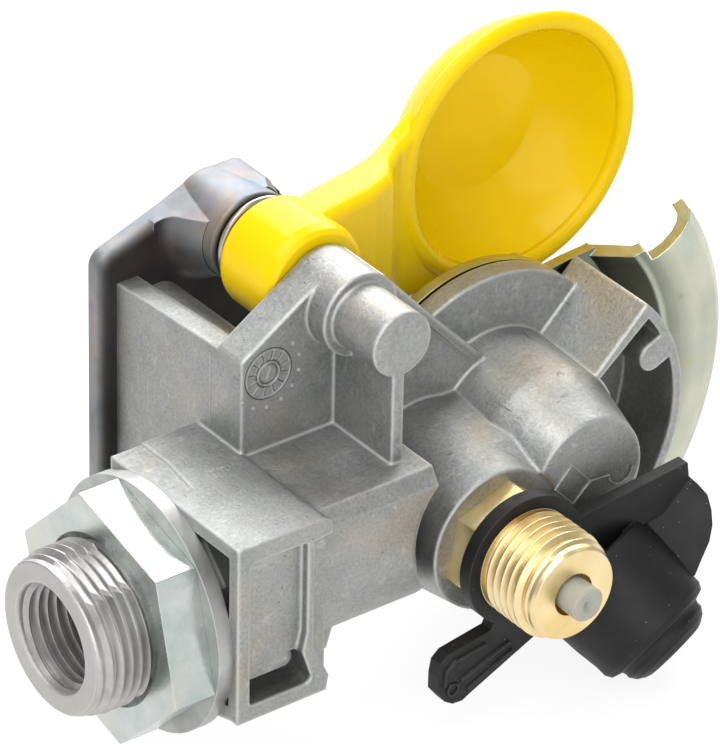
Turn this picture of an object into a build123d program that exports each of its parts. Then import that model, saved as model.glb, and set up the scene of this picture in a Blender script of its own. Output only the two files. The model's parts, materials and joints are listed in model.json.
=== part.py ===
from build123d import *
import os
from math import cos, radians, sin

# Air-brake palm coupling head with a line filter, a bulkhead stud and a test connection.
# Origin on the stud's axis where the washer seats. +X runs from the stud to the palm,
# the palm face looks along +Y, +Z is up. Millimetres.

# Axes that run along Y: x and z
PIVOT_X, PIVOT_Z = 31.5, 36.0
PALM_X, PALM_Z = 62.7, 4.5
TEST_X, TEST_Z = 47.2, 0.0
LID_REACH, LID_DROP = 45.8, 0.9

# Stud, nut and washer. Walls stand at the root of each outside thread
M24_ROOT_R = 11.08
M24_RUNOUT_R = 11.16
M24_NUT_R = 11.19
RELIEF_R, RELIEF_OUT, RELIEF_IN = 10.58, 0.3, 1.1
STUD_END_X = -17.0
STUD_CHAMFER = 0.2
HOSE_PORT_R = 8.0
HOSE_PORT_DEPTH = 14.0
PORT_MOUTH_R = 8.2
PASSAGE_R = 5.0
PASSAGE_WALL = 2.6
PASSAGE_END_X = 56.0
NUT_FLATS = 32.0
NUT_FACE_X = -8.9
NUT_TURN = 15.0
NUT_MOUTH_R = 12.6
WASHER_R = 18.6
WASHER_T = 2.4
WASHER_HOLE_R = 12.4

# Box behind the washer
BOX_X = 15.6
BOX_FRONT_Y = -18.0
BOX_BACK_Y = 10.0
BOX_TOP_Z = 18.0
BOX_FOOT_Z = -10.0
BOX_KNEE_Z = -12.0
BOX_HEEL_Z = -14.5
RIM_T = 2.0
RIM_DEPTH = 3.0
PAD_HALF = 12.6
PAD_CORNER = 5.0
LIP_Y = -19.5
POCKET_Y = -12.6
TOP_STEP = 0.35

# Middle of the body, between the box and the palm
MID_FRONT_Y = -18.0
LEDGE_Y = -16.5
LEDGE_Z = 17.3
BAND_Z = 15.0
MID_END_X = 34.6
BELLY_Y, BELLY_Z, BELLY_R = -4.7, 4.8, 13.3
SCOOP_X, SCOOP_Z, SCOOP_R = 43.5, 5.8, 12.6
SCOOP_Y = -12.0

# Walls that carry the stop plate and the lid pin
WALL_X, WALL_T = 14.5, 3.5
WALL_BACK_Y = 29.2
WALL_TOP_Z = 32.3
WALL_BACK_Z = 30.5
EAR_R = 6.2
EAR_BACK_Y = 5.5
COLLAR_Y = -3.9
PIN_BOSS_R = 4.8
PIN_BOSS_Y = -13.2
WEB_FLOOR_Y = 2.8
WEB_BACK_Y = 7.5
RIB_X, RIB_T = 31.5, 1.8
EDGE_RIB_T = 1.2
SCREW_POST_X, SCREW_POST_R = 21.5, 4.2
SCREW_ZS = (4.0, 24.0)
SCREW_R, SCREW_END_Y = 2.5, 19.5
SCREW_HEAD_R, SCREW_HEAD_T, SCREW_KEY_R = 4.4, 3.2, 2.0

# Test boss
TEST_FACE_Y = -15.5
TEST_FACE_R = 10.9
TEST_BACK_R = 13.3
TEST_BACK_Y = 8.6
M12_R = 5.35
TEST_BORE_Y = -3.0

# Filter housing, flange and rim
CHAMBER_END_Y = -16.0
CHAMBER_END_R = 9.2
CONE_Y, CONE_R = -6.0, 12.1
FLANGE_Y, FLANGE_T, FLANGE_R = 6.8, 3.3, 21.2
HOUSING_R = 12.6
RIM_R = 24.6
RIM_IN_R = 23.2
RIM_Y = -6.2
RIM_FROM, RIM_TO = 44.3, -80.0
HOLLOW_FROM, HOLLOW_TO = 39.5, -45.0
HOLLOW_Y = 5.0
NUB_R, NUB_AT_R, NUB_AT = 2.2, 20.6, 23.0
PALM_BOSS_R = 16.5
PALM_FACE_Y = 17.0
CHAMBER_R = 10.5
CHAMBER_Y = -5.2
SPRING_WELL_R = 7.2
SPRING_WELL_Y = -13.5
GROOVE_R = 11.4
SNAP_Y, SNAP_T = 12.8, 0.8
SEAL_SEAT_Y, SEAL_SEAT_R = 14.4, 14.0

# Claw plate
PLATE_GAP = 0.7
CLAW_T = 1.8
CLAW_RING_IN = 16.8
CLAW_RING_OUT = 21.0
CLAW_SCREW_AT_R = 18.9
CLAW_SCREWS = (62.0, 178.0, -64.0)
CLAW_TURN, CLAW_INNER_TURN = 33.0, 37.5
CLAW_DROP = 0.4
HOOK_FROM, HOOK_TO = -36.0, -4.0

# Stop plate, lid, pin and lid spring
SHEET_T = 1.5
FLANGE_END_Y = 32.2
RAISED_Y, RAISED_R, RAISED_FOOT_R = 20.6, 6.9, 9.0
RECESS_R = 4.6
PIN_R = 3.0
PIN_RUN = 0.1
PIN_IN_Y, PIN_OUT_Y = -9.0, 25.4
CLIP_T = 0.8
CLIP_GROOVE_R = 2.4
CLIP_R = 4.4
HUB_R = 8.4
HUB_Y, HUB_END_Y = 6.0, 18.0
HUB_DOME = 1.6
ARM_ROUND = 1.9
ARM_SECTIONS = (
    (PIVOT_X, 8.6, 16.0, -7.6, 7.6),
    (38.0, 10.1, 17.6, -9.4, 7.6),
    (46.0, 11.9, 19.6, -11.6, 7.2),
    (50.5, 14.0, 21.0, -15.2, 6.9),
    (53.0, 17.4, 22.2, -16.8, 6.9),
    (56.0, 19.4, 23.6, -18.4, 7.4),
    (62.0, 20.4, 24.5, -20.4, 10.9),
    (66.0, 20.6, 24.6, -21.0, 12.4),
)
DISH_Y = 19.5
DISH_R, DISH_IN_R = 21.2, 18.4
DISH_FLOOR_Y, DISH_BACK_Y = 29.9, 31.8
LID_SPRING_R, LID_WIRE_R, LID_SPRING_TURNS = 6.5, 0.5, 1.5

# Palm seal and filter stack
SEAL_WALL, SEAL_SHOULDER = 4.4, 2.0
SEAL_R = SEAL_SEAT_R - SEAL_SHOULDER
SEAL_IN_R = SEAL_R - SEAL_WALL
SEAL_TOP_Y = 19.0
SEAL_FOOT_T = 1.2
FILTER_R, FILTER_WALL = 9.0, 0.8
FILTER_LIP_R = 10.4
FILTER_LIP_Y = 10.2
FILTER_FOOT_Y = -1.0
RING_CORD = 1.6
SEAT_T = 1.0
FILTER_SPRING_R, FILTER_WIRE_R, FILTER_SPRING_TURNS = 5.6, 0.5, 5.0

# Test connection
HEX_FLATS = 16.0
HEX_TURN = 20.0
HEX_Y = -19.6
NECK_R = 8.0
M16_ROOT_R = 7.08
NECK_Y = -22.0
THREAD_Y = -30.7
FITTING_END_Y, FITTING_END_R = -32.4, 6.8
FITTING_FOOT_Y = -7.0
CORE_R = 2.6
CORE_RUN = 0.08
CORE_TIP_Y = -35.8
TEST_MOUTH_R = 3.2
MOUTH_Y = -29.0
VALVE_SEAT_Y = -24.0
VALVE_ROOM_R = 4.2
CORE_HEAD_R = 3.6
CORE_HEAD_T = 2.0
VALVE_SEAL_T = 1.0
CORE_SHOE_R = 1.6
RETAINER_T = 1.4
VALVE_SPRING_R, VALVE_WIRE_R, VALVE_SPRING_TURNS = 2.6, 0.35, 6.0

# Rubber cap on its strap
BAND_Y, BAND_T, BAND_R = -19.8, 2.2, 9.9
CAP_MOUTH = (61.7, -17.9, -8.6)
CAP_AXIS = (0.348, -0.728, -0.585)
CAP_ACROSS = (0.7795, -0.1175, 0.6099)
CAP_LENGTH, CAP_IN_R = 17.0, 8.0
CAP_FLOOR = 3.6
STRAP_T = 2.0


def front(y):
    """Plane that looks along -Y at depth y; its sketch runs along X and Z."""
    return Plane.XZ.offset(-y)


def side(x):
    """Plane that looks along +X; its sketch runs along Y and Z."""
    return Plane.YZ.offset(x)


def turned(x, z):
    """Plane through a Y axis at x and z; its sketch is radius across and Y up."""
    return Plane(origin=(x, 0, z), x_dir=(1, 0, 0), z_dir=(0, 0, 1))


def y_axis(x, z):
    """Axis along Y through x and z."""
    return Axis((x, 0, z), (0, 1, 0))


def polar(r, degrees):
    """Point at a radius and angle, for a sketch placed on an axis."""
    return (r * cos(radians(degrees)), r * sin(radians(degrees)))


def sector(r_in, r_out, start, end):
    """Corners of a wedge of a ring, for a sketch placed on its axis."""
    steps = 8
    turns = [start + (end - start) * i / steps for i in range(steps + 1)]
    outer = [polar(r_out * 1.02, t) for t in turns]
    inner = [polar(r_in, t) for t in reversed(turns)]
    return outer + inner


# Body casting: stud, box, middle, walls, test boss, filter housing, flange and rim
with BuildPart() as body_casting:
    # Box, with its square pad and the rim round it
    with BuildSketch(side(0)):
        Polygon(
            (BOX_FRONT_Y, BOX_FOOT_Z),
            (-11.0, BOX_KNEE_Z),
            (BOX_BACK_Y, BOX_HEEL_Z),
            (BOX_BACK_Y, BOX_TOP_Z),
            (BOX_FRONT_Y, BOX_TOP_Z),
            align=None,
        )
    extrude(amount=BOX_X)
    # Raised frame round the front panel
    with BuildSketch(front(BOX_FRONT_Y)):
        Polygon(
            (0, BOX_FOOT_Z),
            (14.9, BOX_FOOT_Z),
            (15.3, -7.7),
            (12.6, -1.9),
            (12.6, 15.0),
            (BOX_X, 15.3),
            (BOX_X, BOX_TOP_Z),
            (0, BOX_TOP_Z),
            align=None,
        )
    extrude(amount=BOX_FRONT_Y - LIP_Y)
    fillet(body_casting.edges().filter_by(Axis.Y).sort_by_distance((BOX_X, LIP_Y, BOX_TOP_Z))[0], 1.6)
    with BuildSketch(front(LIP_Y)) as panel:
        Polygon(
            (2.0, -7.7),
            (12.7, -7.7),
            (10.9, -2.4),
            (11.6, 0.5),
            (11.6, 15.3),
            (2.0, 15.3),
            align=None,
        )
        fillet(panel.vertices(), 0.9)
    extrude(amount=-(BOX_FRONT_Y - LIP_Y), mode=Mode.SUBTRACT)
    # Deep pocket under the panel, with a half-round rib along its top
    with BuildSketch(front(BOX_FRONT_Y)) as pocket:
        Polygon((2.0, -7.7), (12.7, -7.7), (10.9, -2.4), (2.0, -2.4), align=None)
        fillet(pocket.vertices(), 0.9)
    extrude(amount=-(POCKET_Y - BOX_FRONT_Y), mode=Mode.SUBTRACT)
    with BuildSketch(front(POCKET_Y + 0.5)):
        with Locations((5.4, -3.4)):
            SlotOverall(9.6, 2.6)
    extrude(amount=POCKET_Y + 0.5 - BOX_FRONT_Y - 0.2)
    # Hollow of the rim on the washer side, then the pad back in it
    with BuildSketch(side(0)):
        Polygon(
            (LIP_Y + RIM_T, BOX_FOOT_Z + RIM_T),
            (-10.4, BOX_KNEE_Z + RIM_T),
            (BOX_BACK_Y - RIM_T, BOX_HEEL_Z + RIM_T),
            (BOX_BACK_Y - RIM_T, BOX_TOP_Z - RIM_T),
            (LIP_Y + RIM_T, BOX_TOP_Z - RIM_T),
            align=None,
        )
    extrude(amount=RIM_DEPTH, mode=Mode.SUBTRACT)
    with BuildSketch(side(0)) as pad:
        Rectangle(2 * PAD_HALF, 2 * PAD_HALF)
        chamfer(pad.vertices(), PAD_CORNER)
    extrude(amount=RIM_DEPTH + 1.0)
    # Stud, with a relief at the nut's mouth and a fuller wall where the thread runs out under it
    with BuildSketch(Plane.XY):
        Polygon(
            (STUD_END_X, 0),
            (STUD_END_X, M24_ROOT_R - STUD_CHAMFER),
            (STUD_END_X + STUD_CHAMFER, M24_ROOT_R),
            (NUT_FACE_X - RELIEF_OUT, M24_ROOT_R),
            (NUT_FACE_X - RELIEF_OUT, RELIEF_R),
            (NUT_FACE_X + RELIEF_IN, RELIEF_R),
            (NUT_FACE_X + RELIEF_IN, M24_RUNOUT_R),
            (RIM_DEPTH, M24_RUNOUT_R),
            (RIM_DEPTH, 0),
            align=None,
        )
    revolve(axis=Axis.X)
    # Middle of the body: a bar with a ledge in front and a round belly
    with BuildSketch(side(BOX_X - 2.0)):
        with BuildLine():
            Polyline(
                (BELLY_Y, BELLY_Z - BELLY_R),
                (6.0, BELLY_Z - BELLY_R),
                (8.0, -6.0),
                (8.0, LEDGE_Z),
                (LEDGE_Y, LEDGE_Z),
                (MID_FRONT_Y, BAND_Z),
                (MID_FRONT_Y, BELLY_Z),
            )
            ThreePointArc(
                (MID_FRONT_Y, BELLY_Z),
                (BELLY_Y - BELLY_R * cos(radians(45)), BELLY_Z - BELLY_R * sin(radians(45))),
                (BELLY_Y, BELLY_Z - BELLY_R),
            )
        make_face()
    extrude(amount=MID_END_X - BOX_X + 2.0)
    with BuildSketch(side(BOX_X - 1.0)):
        Polygon((-14.6, -2.0), (-12.4, -9.2), (-4.0, -10.6), (-4.0, 0), align=None)
    extrude(amount=5.6)
    with BuildSketch(front(SCOOP_Y)):
        with Locations((SCOOP_X, SCOOP_Z)):
            Circle(SCOOP_R)
    extrude(amount=12, mode=Mode.SUBTRACT)
    # Tall side wall
    with BuildSketch(side(WALL_X)):
        Polygon(
            (0, BOX_FOOT_Z + 2),
            (WALL_BACK_Y, BOX_FOOT_Z + 2),
            (WALL_BACK_Y, WALL_BACK_Z),
            (0, WALL_TOP_Z),
            align=None,
        )
    extrude(amount=WALL_T)
    # Cross wall up to the ear, thicker where it meets the side wall
    with BuildSketch(front(0)):
        Polygon(
            (WALL_X, 0),
            (RIB_X + 6, 0),
            (RIB_X + 6, PIVOT_Z),
            (28.3, 41.2),
            (WALL_X, WALL_TOP_Z),
            align=None,
        )
        with Locations((PIVOT_X, PIVOT_Z)):
            Circle(EAR_R)
    extrude(amount=-EAR_BACK_Y)
    with BuildSketch(Plane.XY.offset(BOX_FOOT_Z + 2)):
        Polygon(
            (WALL_X, 0.5),
            (27.5, 0.5),
            (26.8, EAR_BACK_Y),
            (WALL_X + WALL_T, 11.0),
            (WALL_X, 11.0),
            align=None,
        )
    extrude(amount=28.0 - BOX_FOOT_Z - 2)
    # Web between the ear and the housing, with its raised edge
    with BuildSketch(front(WEB_FLOOR_Y)):
        Polygon(
            (RIB_X, 2.0),
            (RIB_X, PIVOT_Z - 9.5),
            (PIVOT_X + 6.8, PIVOT_Z - 6.8),
            (PIVOT_X + 9.4, 34.3),
            (58.4, 16.4),
            (58.4, 2.0),
            align=None,
        )
    extrude(amount=-(WEB_BACK_Y - WEB_FLOOR_Y))
    with BuildSketch(front(WEB_FLOOR_Y)):
        Polygon(
            (RIB_X, 10.0),
            (RIB_X, PIVOT_Z),
            (PIVOT_X + EAR_R * 0.737, PIVOT_Z + EAR_R * 0.676),
            (58.4, 16.4),
            (58.4, 10.0),
            align=None,
        )
    extrude(amount=-(EAR_BACK_Y - WEB_FLOOR_Y))
    edge_line = Plane(
        origin=(PIVOT_X + EAR_R * 0.737, 0, PIVOT_Z + EAR_R * 0.676),
        x_dir=(0.676, 0, -0.737),
        z_dir=(0.737, 0, 0.676),
    )
    with BuildSketch(edge_line):
        Polygon((-1.0, COLLAR_Y), (32.6, WEB_FLOOR_Y), (32.6, 5.4), (-1.0, 5.4), align=None)
    extrude(amount=-EDGE_RIB_T)
    # Collar and boss for the lid pin, and the rib under them
    with BuildSketch(front(EAR_BACK_Y)):
        with Locations((PIVOT_X, PIVOT_Z)):
            Circle(EAR_R)
    extrude(amount=EAR_BACK_Y - COLLAR_Y)
    with BuildSketch(front(0)):
        with Locations((PIVOT_X, PIVOT_Z)):
            Circle(PIN_BOSS_R)
    extrude(amount=-PIN_BOSS_Y)
    with BuildSketch(front(0.5)):
        with Locations((RIB_X - 0.5, (PIVOT_Z + LEDGE_Z) / 2 - 1)):
            Rectangle(RIB_T, PIVOT_Z - LEDGE_Z + 1)
    extrude(amount=0.5 - PIN_BOSS_Y)
    # Posts for the stop plate's screws
    for z in SCREW_ZS:
        with BuildSketch(front(WALL_BACK_Y)):
            with Locations((SCREW_POST_X, z)):
                Circle(SCREW_POST_R)
            with Locations((WALL_X + WALL_T, z)):
                Rectangle(4, 2 * SCREW_POST_R - 1.5)
        extrude(amount=WALL_BACK_Y - 6.0)
    # Test boss
    with BuildSketch(turned(TEST_X, TEST_Z)):
        Polygon(
            (0, TEST_FACE_Y),
            (TEST_FACE_R, TEST_FACE_Y),
            (TEST_BACK_R, 2.8),
            (TEST_BACK_R, TEST_BACK_Y),
            (0, TEST_BACK_Y),
            align=None,
        )
    revolve(axis=y_axis(TEST_X, TEST_Z))
    # Sleeve of metal round the passage
    with BuildSketch(side(MID_END_X - 4)):
        Circle(PASSAGE_R + PASSAGE_WALL)
    extrude(amount=12.0)
    # Bridge that fills the valley between the test boss and the housing
    with BuildSketch(side(TEST_X + 1.2)):
        Polygon((5.0, 13.0), (-9.5, 11.3), (-15.0, 8.6), (-15.0, -4.0), (5.0, -4.0), align=None)
    extrude(amount=8.0)
    # Flange, housing and palm boss
    with BuildSketch(turned(PALM_X, PALM_Z)):
        Polygon(
            (0, CHAMBER_END_Y),
            (CHAMBER_END_R, CHAMBER_END_Y),
            (CONE_R, CONE_Y),
            (HOUSING_R, FLANGE_Y),
            (FLANGE_R, FLANGE_Y),
            (FLANGE_R, FLANGE_Y + FLANGE_T),
            (PALM_BOSS_R, FLANGE_Y + FLANGE_T),
            (PALM_BOSS_R, PALM_FACE_Y),
            (0, PALM_FACE_Y),
            align=None,
        )
    revolve(axis=y_axis(PALM_X, PALM_Z))
    # Rim round the far side, hollow inside
    with BuildSketch(front(FLANGE_Y + FLANGE_T)):
        with Locations((PALM_X, PALM_Z)):
            Circle(RIM_R)
            Polygon((0, 0), *sector(0.1, RIM_R * 1.3, RIM_FROM, RIM_TO)[:9], align=None, mode=Mode.INTERSECT)
    extrude(amount=FLANGE_Y + FLANGE_T - RIM_Y)
    with BuildSketch(front(HOLLOW_Y)):
        with Locations((PALM_X, PALM_Z)):
            Circle(RIM_IN_R)
            Polygon((0, 0), *sector(0.1, RIM_R * 1.3, HOLLOW_FROM, HOLLOW_TO)[:9], align=None, mode=Mode.INTERSECT)
            Circle(CONE_R + 0.2, mode=Mode.SUBTRACT)
    extrude(amount=HOLLOW_Y - RIM_Y, mode=Mode.SUBTRACT)
    with BuildSketch(front(HOLLOW_Y)):
        with Locations((PALM_X + polar(NUB_AT_R, NUB_AT)[0], PALM_Z + polar(NUB_AT_R, NUB_AT)[1])):
            Circle(NUB_R)
        with Locations((PALM_X + polar(22.6, NUB_AT)[0], PALM_Z + polar(22.6, NUB_AT)[1])):
            Rectangle(3.4, 2 * NUB_R, rotation=NUB_AT)
    extrude(amount=HOLLOW_Y - RIM_Y)
    # Feet that the claw plate sits on
    with BuildSketch(front(FLANGE_Y + FLANGE_T + PLATE_GAP)):
        for turn in CLAW_SCREWS:
            spot = polar(CLAW_SCREW_AT_R, turn)
            with Locations((PALM_X + spot[0], PALM_Z + spot[1])):
                Circle(2.0)
    extrude(amount=PLATE_GAP + 0.5)
    # Filter room, bored from the palm
    with BuildSketch(turned(PALM_X, PALM_Z)):
        Polygon(
            (0, SPRING_WELL_Y),
            (SPRING_WELL_R, SPRING_WELL_Y),
            (SPRING_WELL_R, CHAMBER_Y),
            (CHAMBER_R, CHAMBER_Y),
            (CHAMBER_R, SNAP_Y),
            (GROOVE_R, SNAP_Y),
            (GROOVE_R, SNAP_Y + SNAP_T),
            (CHAMBER_R, SNAP_Y + SNAP_T),
            (CHAMBER_R, SEAL_SEAT_Y),
            (SEAL_SEAT_R, SEAL_SEAT_Y),
            (SEAL_SEAT_R, PALM_FACE_Y),
            (0, PALM_FACE_Y),
            align=None,
        )
    revolve(axis=y_axis(PALM_X, PALM_Z), mode=Mode.SUBTRACT)
    # Hose port and the passage on to the filter
    with BuildSketch(Plane.XY):
        Polygon(
            (STUD_END_X, 0),
            (STUD_END_X, PORT_MOUTH_R),
            (STUD_END_X + PORT_MOUTH_R - HOSE_PORT_R, HOSE_PORT_R),
            (STUD_END_X + HOSE_PORT_DEPTH, HOSE_PORT_R),
            (STUD_END_X + HOSE_PORT_DEPTH + 3.0, PASSAGE_R),
            (PASSAGE_END_X, PASSAGE_R),
            (PASSAGE_END_X, 0),
            align=None,
        )
    revolve(axis=Axis.X, mode=Mode.SUBTRACT)
    # Test bore and the machined face round it
    with BuildSketch(turned(TEST_X, TEST_Z)):
        Polygon((0, TEST_FACE_Y), (M12_R, TEST_FACE_Y), (M12_R, TEST_BORE_Y), (0, TEST_BORE_Y), align=None)
    revolve(axis=y_axis(TEST_X, TEST_Z), mode=Mode.SUBTRACT)
    with BuildSketch(front(TEST_FACE_Y)):
        with Locations((TEST_X, TEST_Z)):
            Circle(TEST_FACE_R)
    extrude(amount=2.0, mode=Mode.SUBTRACT)
    # Shallow step on the box's top and the witness step on the side wall
    with BuildSketch(Plane.XY.offset(BOX_TOP_Z)):
        Polygon((-1, -3.5), (4.0, -3.4), (5.1, 4.1), (5.1, 11.0), (-1, 11.0), align=None)
    extrude(amount=-TOP_STEP, mode=Mode.SUBTRACT)
    # Blind hole for the lid pin, tapped holes for the plate screws
    with BuildSketch(front(EAR_BACK_Y)):
        with Locations((PIVOT_X, PIVOT_Z)):
            Circle(PIN_R)
    extrude(amount=EAR_BACK_Y - PIN_IN_Y, mode=Mode.SUBTRACT)
    with BuildSketch(front(WALL_BACK_Y)):
        with Locations(*[(SCREW_POST_X, z) for z in SCREW_ZS]):
            Circle(SCREW_R)
    extrude(amount=12.0, mode=Mode.SUBTRACT)
    with BuildSketch(front(FLANGE_Y + FLANGE_T + PLATE_GAP)):
        for turn in CLAW_SCREWS:
            spot = polar(CLAW_SCREW_AT_R, turn)
            with Locations((PALM_X + spot[0], PALM_Z + spot[1])):
                Circle(1.2)
    extrude(amount=3.3, mode=Mode.SUBTRACT)
body_casting.part.label = "body_casting"

# Lock nut and washer on the stud
with BuildPart() as lock_nut:
    with BuildSketch(side(NUT_FACE_X)):
        RegularPolygon(NUT_FLATS / 2, 6, major_radius=False, rotation=NUT_TURN)
        Circle(M24_NUT_R, mode=Mode.SUBTRACT)
    extrude(amount=-NUT_FACE_X - WASHER_T)
    chamfer(lock_nut.edges().filter_by(GeomType.CIRCLE).sort_by(Axis.X)[0], NUT_MOUTH_R - M24_NUT_R)
lock_nut.part.label = "lock_nut"

with BuildPart() as flat_washer:
    with BuildSketch(side(-WASHER_T)):
        Circle(WASHER_R)
        Circle(WASHER_HOLE_R, mode=Mode.SUBTRACT)
    extrude(amount=WASHER_T)
flat_washer.part.label = "flat_washer"

# Stop plate: a pressed tray on the end of the side wall, raised round the lid pin
PLATE_OUTLINE = (
    (11.8, -11.5),
    (11.8, 34.6),
    (24.0, 39.0),
    (30.4, 41.7),
    (37.0, 41.9),
    (45.1, 32.5),
    (42.2, 27.0),
    (40.5, 15.0),
    (28.2, 11.0),
    (28.2, -11.5),
)
PLATE_BACK_Y = WALL_BACK_Y + SHEET_T
with BuildPart() as stop_plate:
    with BuildSketch(front(FLANGE_END_Y)) as outline:
        Polygon(*PLATE_OUTLINE, align=None)
        fillet(outline.vertices(), 2.6)
    extrude(amount=FLANGE_END_Y - WALL_BACK_Y)
    fillet(stop_plate.edges().group_by(Axis.Y)[0], 1.6)
    # Flared foot of the raised part, kept inside the outline
    with BuildSketch(turned(PIVOT_X, PIVOT_Z)):
        with BuildLine():
            Line((PIN_R, PLATE_BACK_Y), (PIN_R, RAISED_Y + 2.4))
            Line((PIN_R, RAISED_Y + 2.4), (RAISED_R + 0.2, RAISED_Y + 2.4))
            Line((RAISED_R + 0.2, RAISED_Y + 2.4), (RAISED_FOOT_R - 0.6, WALL_BACK_Y - 1.8))
            ThreePointArc(
                (RAISED_FOOT_R - 0.6, WALL_BACK_Y - 1.8),
                (RAISED_FOOT_R + 0.3, WALL_BACK_Y - 0.4),
                (RAISED_FOOT_R + 1.8, WALL_BACK_Y + 0.1),
            )
            Line((RAISED_FOOT_R + 1.8, WALL_BACK_Y + 0.1), (RAISED_FOOT_R + 1.8, PLATE_BACK_Y))
            Line((RAISED_FOOT_R + 1.8, PLATE_BACK_Y), (PIN_R, PLATE_BACK_Y))
        make_face()
    revolve(axis=y_axis(PIVOT_X, PIVOT_Z))
    with BuildSketch(front(FLANGE_END_Y)) as outline:
        Polygon(*PLATE_OUTLINE, align=None)
        fillet(outline.vertices(), 2.6)
    extrude(amount=FLANGE_END_Y - RAISED_Y, mode=Mode.INTERSECT)
    # Round top of the raised part
    with BuildSketch(turned(PIVOT_X, PIVOT_Z)):
        with BuildLine():
            Line((PIN_R, FLANGE_END_Y), (PIN_R, RAISED_Y))
            Line((PIN_R, RAISED_Y), (RAISED_R - 0.5, RAISED_Y))
            ThreePointArc(
                (RAISED_R - 0.5, RAISED_Y),
                (RAISED_R - 0.1, RAISED_Y + 0.3),
                (RAISED_R, RAISED_Y + 1.0),
            )
            Line((RAISED_R, RAISED_Y + 1.0), (RAISED_R, RAISED_Y + 2.4))
            Line((RAISED_R, RAISED_Y + 2.4), (RECESS_R + 1.3, FLANGE_END_Y))
            Line((RECESS_R + 1.3, FLANGE_END_Y), (PIN_R, FLANGE_END_Y))
        make_face()
    revolve(axis=y_axis(PIVOT_X, PIVOT_Z))
    # Hollow back of the pressing
    with BuildSketch(front(FLANGE_END_Y)):
        Polygon(*PLATE_OUTLINE, align=None)
        offset(amount=-SHEET_T)
        with Locations((PIVOT_X, PIVOT_Z)):
            Circle(RECESS_R + SHEET_T, mode=Mode.SUBTRACT)
    extrude(amount=FLANGE_END_Y - PLATE_BACK_Y, mode=Mode.SUBTRACT)
    with BuildSketch(front(FLANGE_END_Y)):
        with Locations((PIVOT_X, PIVOT_Z)):
            Circle(RECESS_R)
    extrude(amount=FLANGE_END_Y - RAISED_Y - SHEET_T, mode=Mode.SUBTRACT)
    with BuildSketch(front(FLANGE_END_Y)):
        with Locations((PIVOT_X, PIVOT_Z)):
            Circle(PIN_R)
        with Locations(*[(SCREW_POST_X, z) for z in SCREW_ZS]):
            Circle(SCREW_R)
    extrude(amount=FLANGE_END_Y - RAISED_Y, mode=Mode.SUBTRACT)
stop_plate.part.label = "stop_plate"

with BuildPart() as stop_plate_screws:
    for z in SCREW_ZS:
        with BuildSketch(turned(SCREW_POST_X, z)):
            Polygon(
                (0, SCREW_END_Y),
                (SCREW_R, SCREW_END_Y),
                (SCREW_R, PLATE_BACK_Y),
                (SCREW_HEAD_R, PLATE_BACK_Y),
                (SCREW_HEAD_R, PLATE_BACK_Y + SCREW_HEAD_T - 1.0),
                (SCREW_HEAD_R - 0.8, PLATE_BACK_Y + SCREW_HEAD_T),
                (0, PLATE_BACK_Y + SCREW_HEAD_T),
                align=None,
            )
        revolve(axis=y_axis(SCREW_POST_X, z))
        with BuildSketch(front(PLATE_BACK_Y + SCREW_HEAD_T)):
            with Locations((SCREW_POST_X, z)):
                RegularPolygon(SCREW_KEY_R, 6, major_radius=False)
        extrude(amount=1.8, mode=Mode.SUBTRACT)
stop_plate_screws.part.label = "stop_plate_screws"

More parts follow.
